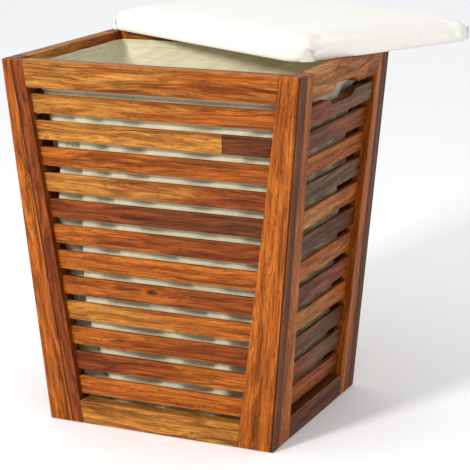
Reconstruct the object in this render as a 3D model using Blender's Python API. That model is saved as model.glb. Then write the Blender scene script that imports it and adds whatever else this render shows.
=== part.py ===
"""Laundry hamper with lid: a tapered slatted wooden frame, a cloth liner and a padded lid.

The hamper stands on Z = 0, centred on the Z axis. Its wide front faces -Y.
The padded lid lies askew on the rim, the way it is left while the hamper is being filled.
"""
import math

import bmesh
import bpy
from mathutils import Matrix, Vector

# ---------------------------------------------------------------- driving dimensions (metres)
HEIGHT = 0.5235
TOP_WIDTH = 0.450
TOP_DEPTH = 0.328
BOTTOM_WIDTH = 0.351
BOTTOM_DEPTH = 0.304

FRAME_THICKNESS = 0.020
TOP_RAIL_HEIGHT = 0.038
BOTTOM_RAIL_HEIGHT = 0.034
FRONT_STILE_TOP = 0.032
FRONT_STILE_BOTTOM = 0.054
SIDE_STILE_TOP = 0.020
SIDE_STILE_BOTTOM = 0.037

SLAT_COUNT = 12
SLAT_HEIGHT = 0.0264
SLAT_GAP = 0.0106
SLAT_THICKNESS = 0.008
SLAT_RECESS = 0.010
SLAT_BACK = SLAT_RECESS + SLAT_THICKNESS
GRIP_SLAT_RECESS = 0.004
TONGUE = 0.008
FILLET_INSET = 0.002

GRIP_HALF_LENGTH = 0.050
GRIP_END_SLOPE = 0.016
GRIP_RAIL_RISE = 0.010
GRIP_SLAT_DIP = 0.0085

BASE_THICKNESS = 0.009

CLOTH = 0.002
LINER_HEM_DROP = 0.013
LINER_HEM_HEIGHT = 0.010
LINER_CLEARANCE = 0.010
LINER_FLARE_HEIGHT = 0.024
LINER_HEM_RADIUS = 0.006
LINER_CORNER_RADIUS = 0.020

LID_LENGTH = 0.468
LID_WIDTH = 0.336
LID_THICKNESS = 0.034
LID_CORNER_RADIUS = 0.034
LID_EDGE_RADIUS = 0.010
LID_CROWN = 0.004
LID_BOARD_THICKNESS = 0.009
LID_BOARD_MARGIN = 0.006
LID_CENTRE_X = 0.050
LID_CENTRE_Y = 0.192
LID_TURN = math.radians(-28.0)

JOINT_GAP = 0.0003
EASED_EDGE = 0.0012
CORNER_STEPS = 5


# ---------------------------------------------------------------- shape of the tapered frame
def between(bottom, top, z):
    """Value at height z of a size that changes evenly from the floor to the rim."""
    return bottom + (top - bottom) * z / HEIGHT


def half_width(z):
    return between(BOTTOM_WIDTH, TOP_WIDTH, z) / 2


def half_depth(z):
    return between(BOTTOM_DEPTH, TOP_DEPTH, z) / 2


def front_opening(z):
    """Half the clear width between the stiles of the front or back panel."""
    return half_width(z) - between(FRONT_STILE_BOTTOM, FRONT_STILE_TOP, z)


def side_panel_edge(z):
    """Half the length of a side panel, which fits between the front and back panels."""
    return half_depth(z) - FRAME_THICKNESS - JOINT_GAP


def side_opening(z):
    """Half the clear width between the stiles of a side panel."""
    return side_panel_edge(z) - between(SIDE_STILE_BOTTOM, SIDE_STILE_TOP, z)


OUTER_EDGE = {"front": half_width, "back": half_width,
              "left": side_panel_edge, "right": side_panel_edge}
OPENING = {"front": front_opening, "back": front_opening,
           "left": side_opening, "right": side_opening}
OPENING_TOP = HEIGHT - TOP_RAIL_HEIGHT
OPENING_BOTTOM = BOTTOM_RAIL_HEIGHT


def wall_point(wall, along, depth, z):
    """Place a point of a panel: along the panel, inward from its outer face, and up."""
    if wall == "front":
        return Vector((along, depth - half_depth(z), z))
    if wall == "back":
        return Vector((-along, half_depth(z) - depth, z))
    if wall == "right":
        return Vector((half_width(z) - depth, along, z))
    return Vector((depth - half_width(z), -along, z))


# ---------------------------------------------------------------- building blocks
def new_object(name, mesh_bm, material=None):
    bmesh.ops.recalc_face_normals(mesh_bm, faces=mesh_bm.faces)
    mesh = bpy.data.meshes.new(name)
    mesh_bm.to_mesh(mesh)
    mesh_bm.free()
    obj = bpy.data.objects.new(name, mesh)
    bpy.context.scene.collection.objects.link(obj)
    if material:
        mesh.materials.append(material)
    return obj


def solid_between_loops(name, loops, material=None):
    """Close a stack of point loops into one solid, capping the first and the last loop."""
    solid = bmesh.new()
    rings = [[solid.verts.new(point) for point in loop] for loop in loops]
    for lower, upper in zip(rings, rings[1:]):
        for i in range(len(lower)):
            j = (i + 1) % len(lower)
            solid.faces.new((lower[i], lower[j], upper[j], upper[i]))
    solid.faces.new(rings[0])
    solid.faces.new(rings[-1])
    return new_object(name, solid, material)


def board(name, wall, left, right, bottom, top, outer, inner, eased=EASED_EDGE, material=None):
    """A board lying in a panel. Its two ends, left and right, are functions of height."""
    loops = []
    for z in (bottom, top):
        loops.append([wall_point(wall, left(z), outer, z), wall_point(wall, right(z), outer, z),
                      wall_point(wall, right(z), inner, z), wall_point(wall, left(z), inner, z)])
    obj = solid_between_loops(name, loops, material)
    if eased:
        solid = bmesh.new()
        solid.from_mesh(obj.data)
        bmesh.ops.bevel(solid, geom=solid.edges[:], offset=eased, segments=1, affect='EDGES')
        solid.to_mesh(obj.data)
        solid.free()
    return obj


def combine(obj, others, operation):
    """Join to obj, or cut from it, every other solid in turn, and discard the others."""
    for other in others:
        modifier = obj.modifiers.new(operation.title(), 'BOOLEAN')
        modifier.operation = operation
        modifier.solver = 'EXACT'
        modifier.object = other
        bpy.context.view_layer.update()
        evaluated = obj.evaluated_get(bpy.context.evaluated_depsgraph_get())
        mesh = bpy.data.meshes.new_from_object(evaluated)
        mesh.name = obj.name
        obj.modifiers.clear()
        obj.data = mesh
        bpy.data.objects.remove(other)
    return obj


def offset_edge(edge, distance, side=1):
    """The end line of a board: an opening edge moved outward by a distance, on one side."""
    return lambda z: side * (edge(z) + distance)


def rounded_rectangle(half_x, half_y, radius, z, steps=CORNER_STEPS):
    points = []
    for quarter, (sx, sy) in enumerate(((1, 1), (-1, 1), (-1, -1), (1, -1))):
        for step in range(steps + 1):
            angle = math.radians(90) * (quarter + step / steps)
            points.append(Vector((sx * (half_x - radius) + radius * math.cos(angle),
                                  sy * (half_y - radius) + radius * math.sin(angle), z)))
    return points


# ---------------------------------------------------------------- materials
def plain_material(name, colour, roughness):
    material = bpy.data.materials.new(name)
    material.use_nodes = True
    shader = material.node_tree.nodes["Principled BSDF"]
    shader.inputs["Base Color"].default_value = (*colour, 1.0)
    shader.inputs["Roughness"].default_value = roughness
    shader.inputs["Metallic"].default_value = 0.0
    return material


# ---------------------------------------------------------------- slatted panels
def slat_top(row):
    """Height of the top edge of a slat; row 0 is the one below the top rail."""
    return OPENING_TOP - SLAT_GAP - row * (SLAT_HEIGHT + SLAT_GAP)


def slat_bottom(row):
    return slat_top(row) - SLAT_HEIGHT


def slat_recess(wall, row):
    """How far a slat lies behind the frame's face. The slat under a hand hole is thicker."""
    if row == 0 and wall in ("left", "right"):
        return GRIP_SLAT_RECESS
    return SLAT_RECESS


def tongue_slot(wall, side, bottom, top, outer):
    """Cutter for the slot in a stile that takes the tongue of a slat or a rail."""
    mouth = offset_edge(OPENING[wall], -TONGUE, side)
    end = offset_edge(OPENING[wall], TONGUE + JOINT_GAP, side)
    return board("slot", wall, mouth, end, bottom - JOINT_GAP, top + JOINT_GAP,
                 outer - JOINT_GAP, SLAT_BACK + JOINT_GAP, eased=0)


def stile(wall, side, wood):
    """Upright board at one end of a panel, slotted on its inner edge."""
    name = f"{wall}_stile_{'right' if side > 0 else 'left'}"
    upright = board(name, wall, offset_edge(OUTER_EDGE[wall], 0, side),
                    offset_edge(OPENING[wall], JOINT_GAP, side), 0, HEIGHT, 0, FRAME_THICKNESS, material=wood)
    slots = []
    for level in ("top", "bottom"):
        slots.append(tongue_slot(wall, side, *rail_tongue_heights(level), SLAT_RECESS))
    if wall == "back":
        slots.append(tongue_slot(wall, side, slat_bottom(SLAT_COUNT - 1), slat_top(0), SLAT_RECESS))
    else:
        for row in range(SLAT_COUNT):
            slots.append(tongue_slot(wall, side, slat_bottom(row), slat_top(row), slat_recess(wall, row)))
    combine(upright, slots, 'DIFFERENCE')


def rail_tongue_heights(level):
    """Bottom and top of the tongues at the ends of a top or bottom rail."""
    if level == "top":
        return OPENING_TOP + TONGUE, HEIGHT - TONGUE
    return TONGUE, OPENING_BOTTOM - TONGUE


def grip_cutter(wall, edge_height, reach):
    """Hand-hole cutter with sloping ends. It reaches up, or down, from a board's edge."""
    def half_length(z):
        return GRIP_HALF_LENGTH - GRIP_END_SLOPE * (z - edge_height) / reach

    past_edge = edge_height - math.copysign(2 * EASED_EDGE, reach)
    bottom, top = sorted((past_edge, edge_height + reach))
    return board("grip", wall, lambda z: -half_length(z), half_length, bottom, top,
                 -TONGUE, FRAME_THICKNESS + TONGUE, eased=0)


def rail(wall, level, wood):
    """Level board between the stiles, with a tongue at each end."""
    bottom, top = (OPENING_TOP, HEIGHT) if level == "top" else (0, OPENING_BOTTOM)
    opening = OPENING[wall]
    cross = board(f"{wall}_rail_{level}", wall, offset_edge(opening, 0, -1), offset_edge(opening, 0),
                  bottom, top, 0, FRAME_THICKNESS, material=wood)
    tongue_bottom, tongue_top = rail_tongue_heights(level)
    tongue = board("tongue", wall, offset_edge(opening, TONGUE, -1), offset_edge(opening, TONGUE),
                   tongue_bottom, tongue_top, SLAT_RECESS, SLAT_BACK, eased=0)
    combine(cross, [tongue], 'UNION')
    if level == "top" and wall in ("left", "right"):
        combine(cross, [grip_cutter(wall, OPENING_TOP, GRIP_RAIL_RISE)], 'DIFFERENCE')


def slat(wall, row, wood):
    """Thin board let into both stiles."""
    opening = OPENING[wall]
    thin = board(f"{wall}_slat_{row + 1:02d}", wall, offset_edge(opening, TONGUE, -1),
                 offset_edge(opening, TONGUE), slat_bottom(row), slat_top(row),
                 slat_recess(wall, row), SLAT_BACK, material=wood)
    if row == 0 and wall in ("left", "right"):
        combine(thin, [grip_cutter(wall, slat_top(row), -GRIP_SLAT_DIP)], 'DIFFERENCE')
    return thin


def back_slat_ladder(wood):
    """The slats of the back panel, joined at both ends by a fillet that sits in the stile groove."""
    slats = [slat("back", row, wood) for row in range(SLAT_COUNT)]
    fillets = []
    for side in (-1, 1):
        near = offset_edge(OPENING["back"], FILLET_INSET, side)
        far = offset_edge(OPENING["back"], TONGUE - FILLET_INSET, side)
        fillets.append(board("back_slats", "back", near, far, slat_bottom(SLAT_COUNT - 1) + SLAT_HEIGHT / 2,
                             slat_top(0) - SLAT_HEIGHT / 2, SLAT_RECESS + FILLET_INSET,
                             SLAT_BACK - FILLET_INSET, eased=0, material=wood))
    return combine(fillets[0], slats + fillets[1:], 'UNION')


def build_panel(wall, woods):
    """One slatted panel; neighbouring slats take their colour from different strips of timber."""
    for side in (-1, 1):
        stile(wall, side, woods[0])
    rail(wall, "top", woods[1])
    rail(wall, "bottom", woods[1])
    if wall == "back":
        back_slat_ladder(woods[1])
        return
    for row in range(SLAT_COUNT):
        slat(wall, row, woods[row % len(woods)])


def build_base_board(wood):
    """Floor of the hamper, set between the bottom rails."""
    loops = []
    for z in (0, BASE_THICKNESS):
        inset = FRAME_THICKNESS + JOINT_GAP
        loops.append(rounded_rectangle(half_width(z) - inset, half_depth(z) - inset, EASED_EDGE, z, steps=1))
    return solid_between_loops("base_board", loops, wood)


# ---------------------------------------------------------------- cloth liner
def liner_loop(z, clearance, radius, inward=0.0):
    """Outline of the liner at height z, kept clear of the panels' inner faces."""
    inset = FRAME_THICKNESS + clearance + inward
    return rounded_rectangle(half_width(z) - inset, half_depth(z) - inset, radius - inward, z)


def build_liner(cotton):
    """Open bag: a hem fixed to the rails, walls hanging clear of the slats, and a closed bottom."""
    hem_top = HEIGHT - LINER_HEM_DROP
    hem_bottom = hem_top - LINER_HEM_HEIGHT
    flare_bottom = hem_bottom - LINER_FLARE_HEIGHT
    floor = BASE_THICKNESS + JOINT_GAP
    turn = floor + LINER_CORNER_RADIUS / 2
    outer = [liner_loop(floor, LINER_CLEARANCE + LINER_CORNER_RADIUS / 2, LINER_CORNER_RADIUS),
             liner_loop(turn, LINER_CLEARANCE, LINER_CORNER_RADIUS),
             liner_loop(flare_bottom, LINER_CLEARANCE, LINER_CORNER_RADIUS),
             liner_loop(hem_bottom, JOINT_GAP, LINER_HEM_RADIUS),
             liner_loop(hem_top, JOINT_GAP, LINER_HEM_RADIUS)]
    inner = [liner_loop(hem_top, JOINT_GAP, LINER_HEM_RADIUS, CLOTH),
             liner_loop(hem_bottom, JOINT_GAP, LINER_HEM_RADIUS, CLOTH),
             liner_loop(flare_bottom, LINER_CLEARANCE, LINER_CORNER_RADIUS, CLOTH),
             liner_loop(turn, LINER_CLEARANCE, LINER_CORNER_RADIUS, CLOTH),
             liner_loop(floor + CLOTH, LINER_CLEARANCE + LINER_CORNER_RADIUS / 2, LINER_CORNER_RADIUS, CLOTH)]
    return solid_between_loops("liner_bag", outer + inner, cotton)


# ---------------------------------------------------------------- padded lid
def place_on_rim(obj):
    """Turn a lid piece into its resting position; its origin stays on the lifting axis."""
    obj.data.transform(Matrix.Rotation(LID_TURN, 4, 'Z'))
    obj.location = (LID_CENTRE_X, LID_CENTRE_Y, HEIGHT + JOINT_GAP)


def lid_loop(inset, z, radius=LID_CORNER_RADIUS):
    return rounded_rectangle(LID_LENGTH / 2 - inset, LID_WIDTH / 2 - inset, radius - inset, z)


def build_lid_underside(cloth):
    """Thin cloth that closes the lid from below."""
    loops = [lid_loop(LID_BOARD_MARGIN, 0), lid_loop(LID_BOARD_MARGIN, CLOTH / 2)]
    place_on_rim(solid_between_loops("lid_underside_cloth", loops, cloth))


def build_lid_board(plywood):
    """Stiff board that carries the padding."""
    bottom = CLOTH / 2 + JOINT_GAP
    loops = [lid_loop(LID_BOARD_MARGIN, bottom), lid_loop(LID_BOARD_MARGIN, bottom + LID_BOARD_THICKNESS)]
    place_on_rim(solid_between_loops("lid_board", loops, plywood))


def build_lid_cushion(cotton):
    """Covered foam pad; its skirt wraps down round the edge of the board."""
    pocket_inset = LID_BOARD_MARGIN - JOINT_GAP
    pocket_top = CLOTH / 2 + 2 * JOINT_GAP + LID_BOARD_THICKNESS
    loops = [lid_loop(pocket_inset, pocket_top), lid_loop(pocket_inset, 0)]
    loops.append(lid_loop(LID_BOARD_MARGIN / 3, 0))
    loops.append(lid_loop(0, LID_EDGE_RADIUS / 3))
    for step in range(4):
        angle = math.radians(30 * step)
        inset = LID_EDGE_RADIUS * (1 - math.cos(angle))
        rise = LID_EDGE_RADIUS * math.sin(angle)
        loops.append(lid_loop(inset, LID_THICKNESS - LID_CROWN - LID_EDGE_RADIUS + rise))
    loops.append(rounded_rectangle(LID_LENGTH / 4, LID_WIDTH / 4, LID_CORNER_RADIUS, LID_THICKNESS))
    place_on_rim(solid_between_loops("lid_cushion", loops, cotton))


# ---------------------------------------------------------------- build
def main():
    for obj in list(bpy.data.objects):
        bpy.data.objects.remove(obj, do_unlink=True)

    orange_wood = plain_material("oiled acacia, orange brown", (0.45, 0.18, 0.055), 0.45)
    golden_wood = plain_material("oiled acacia, golden", (0.56, 0.28, 0.09), 0.45)
    red_wood = plain_material("oiled acacia, reddish", (0.30, 0.10, 0.05), 0.45)
    plywood = plain_material("birch plywood", (0.62, 0.47, 0.30), 0.6)
    natural_cotton = plain_material("natural cotton canvas", (0.66, 0.61, 0.46), 0.9)
    white_cotton = plain_material("white cotton canvas", (0.90, 0.89, 0.84), 0.9)

    for wall in ("front", "right", "left", "back"):
        build_panel(wall, (orange_wood, golden_wood, red_wood))
    build_base_board(plywood)
    build_liner(natural_cotton)
    build_lid_underside(white_cotton)
    build_lid_board(plywood)
    build_lid_cushion(white_cotton)


main()
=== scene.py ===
"""Looks of a laundry hamper with lid: oiled acacia slats, a canvas liner and a padded lid.

The wooden boards are the frame's own nodes with new materials. The liner, its hem and stitching,
the lid's cushion and the cloth under it are modelled here and stand for the frame's plain solids.
"""
import math

import bmesh
import bpy
from bpy.props import FloatProperty, FloatVectorProperty, PointerProperty
from mathutils import Matrix, Vector, noise


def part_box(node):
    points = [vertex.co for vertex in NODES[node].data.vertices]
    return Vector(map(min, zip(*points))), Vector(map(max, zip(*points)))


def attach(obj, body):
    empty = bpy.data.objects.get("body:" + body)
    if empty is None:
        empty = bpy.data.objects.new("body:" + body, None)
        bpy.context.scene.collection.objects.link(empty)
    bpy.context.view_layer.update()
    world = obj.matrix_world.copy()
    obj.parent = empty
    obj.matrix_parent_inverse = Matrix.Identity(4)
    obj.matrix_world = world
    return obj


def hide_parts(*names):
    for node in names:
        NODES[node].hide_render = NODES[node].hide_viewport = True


bl_info = {
    "name": "Slatted Laundry Hamper",
    "version": (1, 0, 0),
    "blender": (4, 5, 0),
    "location": "View3D > Sidebar > Hamper",
    "description": "Materials and soft parts for a slatted laundry hamper with a padded lid",
    "category": "Add Mesh",
}

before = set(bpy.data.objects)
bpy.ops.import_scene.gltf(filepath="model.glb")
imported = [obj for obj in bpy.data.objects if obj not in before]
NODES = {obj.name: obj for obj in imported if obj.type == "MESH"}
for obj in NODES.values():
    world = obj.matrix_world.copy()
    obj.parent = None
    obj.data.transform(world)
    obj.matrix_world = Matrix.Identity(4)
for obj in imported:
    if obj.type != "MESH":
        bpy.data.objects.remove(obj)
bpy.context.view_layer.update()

RIM_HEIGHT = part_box("front_rail_top")[1].z
MILLIMETRE = 0.001
# Clearance between two surfaces that would otherwise lie in one plane, in metres.
BOARD_GAP = 0.0003


# ---------------------------------------------------------------- colours
def linear(hexadecimal):
    """Turn an sRGB colour such as #c48f4a into linear red, green, blue and alpha."""
    channels = [int(hexadecimal[i:i + 2], 16) / 255 for i in (1, 3, 5)]
    return (*(c / 12.92 if c <= 0.04045 else ((c + 0.055) / 1.055) ** 2.4 for c in channels), 1.0)


def shade(colour, factor, warmth=1.0):
    """A darker or lighter version of a colour. A warmth above 1 keeps more of its red."""
    red, green, blue, alpha = colour
    changed = (red * factor * warmth, green * factor, blue * factor / warmth)
    return (*(min(channel, 1.0) for channel in changed), alpha)


def colour_property(name, hexadecimal, description):
    """A colour setting whose default is an sRGB colour."""
    return FloatVectorProperty(name=name, description=description, default=linear(hexadecimal),
                               size=4, min=0.0, max=1.0, subtype='COLOR')


def length_property(name, default, description):
    """A length setting, in metres."""
    return FloatProperty(name=name, description=description, default=default, min=0.0,
                         subtype='DISTANCE', unit='LENGTH', precision=4)


# ---------------------------------------------------------------- settings
class HamperWoodSettings(bpy.types.PropertyGroup):
    """Tones of the acacia strips and the size of their figure"""
    golden: colour_property("Golden", "#9a6024", "Sapwood strips")
    orange: colour_property("Orange", "#914912", "The commonest strips")
    red: colour_property("Red", "#73330f", "Heartwood strips")
    brown: colour_property("Brown", "#55290f", "Dark heartwood strips")
    umber: colour_property("Umber", "#5a3c22", "Dull grey-brown strips")
    birch: colour_property("Birch", "#cfae7c", "Plywood of the hidden boards")
    figure_width: length_property("Figure width", 0.011, "Width of the light and dark bands of the grain")
    line_width: length_property("Line width", 0.0019, "Spacing of the fine grain lines")
    pore_width: length_property("Pore width", 0.0012, "Width of the open pores")
    roughness: FloatProperty(name="Roughness", description="Roughness of the oiled surface",
                             default=0.42, min=0.0, max=1.0, subtype='FACTOR')


class HamperClothSettings(bpy.types.PropertyGroup):
    """Canvas of the liner and of the lid"""
    natural: colour_property("Natural", "#e4dcba", "Unbleached cotton of the liner")
    white: colour_property("White", "#e6e3da", "Bleached cotton of the lid")
    thread: colour_property("Thread", "#efe9d6", "Sewing thread")
    thread_spacing: length_property("Thread spacing", 0.0016, "Distance between the threads of the weave")
    thickness: length_property("Thickness", 0.0009, "Thickness of the canvas")
    fold_depth: length_property("Fold depth", 0.022, "How far the liner's folds stand inward")
    fold_width: length_property("Fold width", 0.075, "Distance from one fold of the liner to the next")
    hem_height: length_property("Hem height", 0.010, "Height of the liner's turned hem")
    stitch_length: length_property("Stitch length", 0.0034, "Length of one stitch in the hem")


class HamperLidSettings(bpy.types.PropertyGroup):
    """Padding of the lid"""
    edge_radius: length_property("Edge radius", 0.014, "Roundness of the cushion's upper edge")
    crown: length_property("Crown", 0.007, "Rise of the cushion from its edge to its middle")
    pull_in: length_property("Pull in", 0.004, "How far the sides pull in between the corners")
    pleat_height: length_property("Pleat height", 0.021, "Height of the folded corner of the cover")


class HamperStageSettings(bpy.types.PropertyGroup):
    """Camera, lights and floor"""
    azimuth: FloatProperty(name="Azimuth", description="Camera's angle round the hamper",
                           default=math.radians(25.02), subtype='ANGLE', unit='ROTATION')
    elevation: FloatProperty(name="Elevation", description="Camera's angle above the horizon",
                             default=math.radians(14.63), subtype='ANGLE', unit='ROTATION')
    tilt: FloatProperty(name="Tilt", description="Camera's roll",
                        default=math.radians(-0.683), subtype='ANGLE', unit='ROTATION')
    distance: length_property("Distance", 2.484, "Distance from the camera to the point it looks at")
    aim_right: length_property("Aim right", 0.0515, "How far right of the hamper's axis the camera looks")
    aim_height: FloatProperty(name="Aim height",
                              description="Height the camera looks at, as a share of the rim's",
                              default=0.4959, min=0.0, max=1.0, subtype='FACTOR')
    lens: FloatProperty(name="Lens", description="Focal length on a 36 mm wide sensor",
                        default=132.5, min=1.0, subtype='DISTANCE_CAMERA')
    floor: colour_property("Floor", "#fbfbfa", "Pale floor")
    key_power: FloatProperty(name="Key light", description="Power of the large light at the front left",
                             default=74.0, min=0.0, unit='POWER')
    sky_strength: FloatProperty(name="Sky", description="Strength of the even light from all round",
                                default=0.93, min=0.0)


# ---------------------------------------------------------------- shader helpers
SMOOTH = {"interpolation_type": 'SMOOTHSTEP'}
COLOURS = {"data_type": 'RGBA'}


def add_node(tree, kind, links=None, stops=None, span=(), **settings):
    """Add a shader node and return its outputs.

    links gives an input a value or another node's output. stops fill a colour ramp. span gives the
    two values that are mapped from, then the two that they are mapped to, which are 0 and 1 if left out.
    """
    made = tree.nodes.new("ShaderNode" + kind)
    for name, value in settings.items():
        setattr(made, name, value)
    for key, source in (links or {}).items():
        if isinstance(source, bpy.types.NodeSocket):
            tree.links.new(source, made.inputs[key])
        else:
            made.inputs[key].default_value = source
    for name, value in zip(("From Min", "From Max", "To Min", "To Max"), span):
        made.inputs[name].default_value = value
    if stops:
        ramp = made.color_ramp.elements
        while len(ramp) < len(stops):
            ramp.new(1.0)
        for element, (position, colour) in zip(ramp, stops):
            element.position = position
            element.color = colour
    return made.outputs


def new_material(name):
    """An empty material, its node tree and its Principled shader."""
    material = bpy.data.materials.new(name)
    material.use_nodes = True
    return material, material.node_tree, material.node_tree.nodes["Principled BSDF"]


def grain_noise(tree, place, length, width, seed, detail=2.0):
    """Noise whose blots are as long along X and as wide across it as given, in metres."""
    stretched = add_node(tree, "Mapping", {"Vector": place, "Location": (seed, seed * 1.7, seed * 2.3),
                                           "Scale": (1 / length, 1 / width, 1 / width)})[0]
    return add_node(tree, "TexNoise", {"Vector": stretched, "Scale": 1.0, "Detail": detail,
                                       "Roughness": 0.46})[0]


def finish_shader(tree, shader, colour, roughness, relief, strength, depth):
    """Join a pattern's colour, roughness and relief to the shader. depth is the relief's, in metres."""
    bump = add_node(tree, "Bump", {"Height": relief, "Strength": strength, "Distance": depth})[0]
    for socket, name in ((colour, "Base Color"), (roughness, "Roughness"), (bump, "Normal")):
        tree.links.new(socket, shader.inputs[name])


# ---------------------------------------------------------------- where each board lies
# Stiles glued up from two strips: how wide the strip on the outer or the inner side is, in metres.
OUTER_STRIPS = {"front_stile_right": 0.003, "right_stile_right": 0.004, "back_stile_left": 0.0045}
INNER_STRIPS = {"front_stile_left": 0.0165, "left_stile_right": 0.012, "back_stile_right": 0.015}

# Tones of the slats from the rim down: at the left end, and at the right end.
FRONT_SLATS = (("golden", "orange"), ("golden", "brown"), ("orange", "orange"), ("golden", "red"),
               ("red", "brown"), ("orange", "red"), ("orange", "orange"), ("orange", "red"),
               ("golden", "orange"), ("orange", "red"), ("red", "orange"), ("orange", "orange"))
# The right wall's slats take darker tones than the front's: painted shade on the side turned away from
# the key light. The left wall reuses them, reversed.
RIGHT_SLATS = (("red", "umber"), ("brown", "red"), ("orange", "orange"), ("umber", "umber"),
               ("golden", "orange"), ("umber", "brown"), ("orange", "orange"), ("brown", "red"),
               ("golden", "orange"), ("umber", "brown"), ("red", "umber"), ("orange", "red"))
BOARD_TONES = {"front_stile_left": ("red", "orange"), "front_stile_right": ("brown", "orange"),
               "right_stile_left": ("orange", "orange"), "right_stile_right": ("umber", "orange"),
               "left_stile_left": ("orange", "red"), "left_stile_right": ("red", "golden"),
               "back_stile_left": ("brown", "orange"), "back_stile_right": ("orange", "golden"),
               "front_rail_top": ("golden", "orange"), "front_rail_bottom": ("golden", "golden"),
               "right_rail_top": ("golden", "orange"), "right_rail_bottom": ("brown", "brown"),
               "left_rail_top": ("orange", "golden"), "left_rail_bottom": ("red", "orange"),
               "back_rail_top": ("orange", "orange"), "back_rail_bottom": ("red", "golden"),
               "back_slats": ("orange", "golden")}
# Where two lengths meet end to end, from the board's middle, in metres.
BUTT_JOINTS = {"front_slat_02": 0.105, "left_slat_05": -0.04, "back_rail_bottom": 0.06}
# Knots: place along and across the board from its middle, and radius, in metres.
KNOTS = {"front_slat_08": (-0.008, 0.004, 0.0045), "right_stile_left": (-0.11, 0.012, 0.0035),
         "left_slat_09": (0.03, -0.003, 0.004)}
WALL_FACES = {"front": Vector((0, -1, 0)), "back": Vector((0, 1, 0)),
              "left": Vector((-1, 0, 0)), "right": Vector((1, 0, 0))}


def board_tones(node):
    """The names of a board's two tones: of its two ends, or of its two glued strips."""
    if node in BOARD_TONES:
        return BOARD_TONES[node]
    wall, _, row = node.split("_")
    slats = {"front": FRONT_SLATS, "right": RIGHT_SLATS, "left": RIGHT_SLATS[::-1]}[wall]
    return slats[int(row) - 1]


def end_corner(node, end, side, axis):
    """The corner of a stile's foot or top that lies furthest to one side along an axis."""
    points = [vertex.co for vertex in NODES[node].data.vertices]
    height = end(point.z for point in points)
    level = [point for point in points if abs(point.z - height) < 3 * MILLIMETRE]
    return max(level, key=lambda point: side * point[axis]).copy()


def board_frame(node):
    """A board's own place: an origin on it, and the directions along its grain and across it."""
    low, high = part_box(node)
    out = WALL_FACES[node.split("_")[0]]
    up = Vector((0, 0, 1))
    if "stile" not in node:
        return (low + high) / 2, up.cross(out), up
    axis = 0 if out.x == 0 else 1
    outer = 1 if low[axis] + high[axis] > 0 else -1
    side = outer if node in OUTER_STRIPS else -outer
    foot, top = (end_corner(node, end, side, axis) for end in (min, max))
    grain = (top - foot).normalized()
    across = Vector((0, 0, 0))
    across[axis] = -side
    across = (across - grain * across.dot(grain)).normalized()
    return (foot + top) / 2, grain, across


# ---------------------------------------------------------------- wood materials
def bent_by_knot(tree, local, knot):
    """Grain coordinates that flow round a knot, and the knot's own mask."""
    along, across, radius = knot
    offset = add_node(tree, "VectorMath", {0: local, 1: (along, across, 0)}, operation='SUBTRACT')[0]
    narrowed = add_node(tree, "VectorMath", {0: offset, 1: (0.45, 1.0, 0.2)}, operation='MULTIPLY')[0]
    distance = add_node(tree, "VectorMath", {0: narrowed}, operation='LENGTH')["Value"]
    reach = add_node(tree, "MapRange", {"Value": distance}, span=(0.0, radius * 3, 0.85, 0.0),
                     **SMOOTH)[0]
    pull = add_node(tree, "VectorMath", {0: offset, "Scale": reach}, operation='SCALE')[0]
    bent = add_node(tree, "VectorMath", {0: local, 1: pull}, operation='SUBTRACT')[0]
    knot_mask = add_node(tree, "MapRange", {"Value": distance},
                         span=(radius * 0.4, radius * 1.2, 0.85, 0.0), **SMOOTH)[0]
    return bent, knot_mask


def strip_tones(tree, figure, flame, colour):
    """Light, middle and dark wood of one strip, laid out by the figure, with small flames over it."""
    tone = add_node(tree, "ValToRGB", {"Fac": figure},
                    stops=[(0.32, shade(colour, 0.50, 1.08)), (0.48, colour),
                           (0.66, shade(colour, 1.60, 0.90))])[0]
    bright = add_node(tree, "MapRange", {"Value": flame}, span=(0.48, 0.68, 0.0, 0.60), **SMOOTH)[0]
    deep = add_node(tree, "MapRange", {"Value": flame}, span=(0.32, 0.52, 0.50, 0.0), **SMOOTH)[0]
    tone = add_node(tree, "Mix", {0: bright, 6: tone, 7: shade(colour, 1.75, 0.84)}, **COLOURS)[2]
    return add_node(tree, "Mix", {0: deep, 6: tone, 7: shade(colour, 0.55, 1.12)}, **COLOURS)[2]


def strip_meeting(tree, node, local):
    """How far a point belongs to a board's second tone, and the dark line where strips are glued."""
    steps = add_node(tree, "SeparateXYZ", {"Vector": local})
    strips = {**OUTER_STRIPS, **INNER_STRIPS}
    if node in strips:
        place, meeting, softness = steps["Y"], strips[node], 0.7 * MILLIMETRE
    elif node in BUTT_JOINTS:
        place, meeting, softness = steps["X"], BUTT_JOINTS[node], 0.4 * MILLIMETRE
    else:
        low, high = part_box(node)
        length = max(high - low)
        drift = grain_noise(tree, local, 0.09, 0.008, seed=low.z * 90 + low.x * 40)
        shift = add_node(tree, "Math", {0: drift, 1: length * 1.5, 2: -length * 0.75},
                         operation='MULTIPLY_ADD')[0]
        place = add_node(tree, "Math", {0: steps["X"], 1: shift}, operation='ADD')[0]
        second = add_node(tree, "MapRange", {"Value": place}, span=(-length * 0.3, length * 0.3),
                          **SMOOTH)[0]
        return second, None
    second = add_node(tree, "MapRange", {"Value": place}, span=(meeting - softness, meeting + softness),
                      **SMOOTH)[0]
    gap = add_node(tree, "Math", {0: place, 1: meeting}, operation='SUBTRACT')[0]
    gap = add_node(tree, "Math", {0: gap}, operation='ABSOLUTE')[0]
    glue_line = add_node(tree, "MapRange", {"Value": gap}, span=(softness, softness * 2.4, 0.85, 0.0),
                         **SMOOTH)[0]
    return second, glue_line


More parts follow.
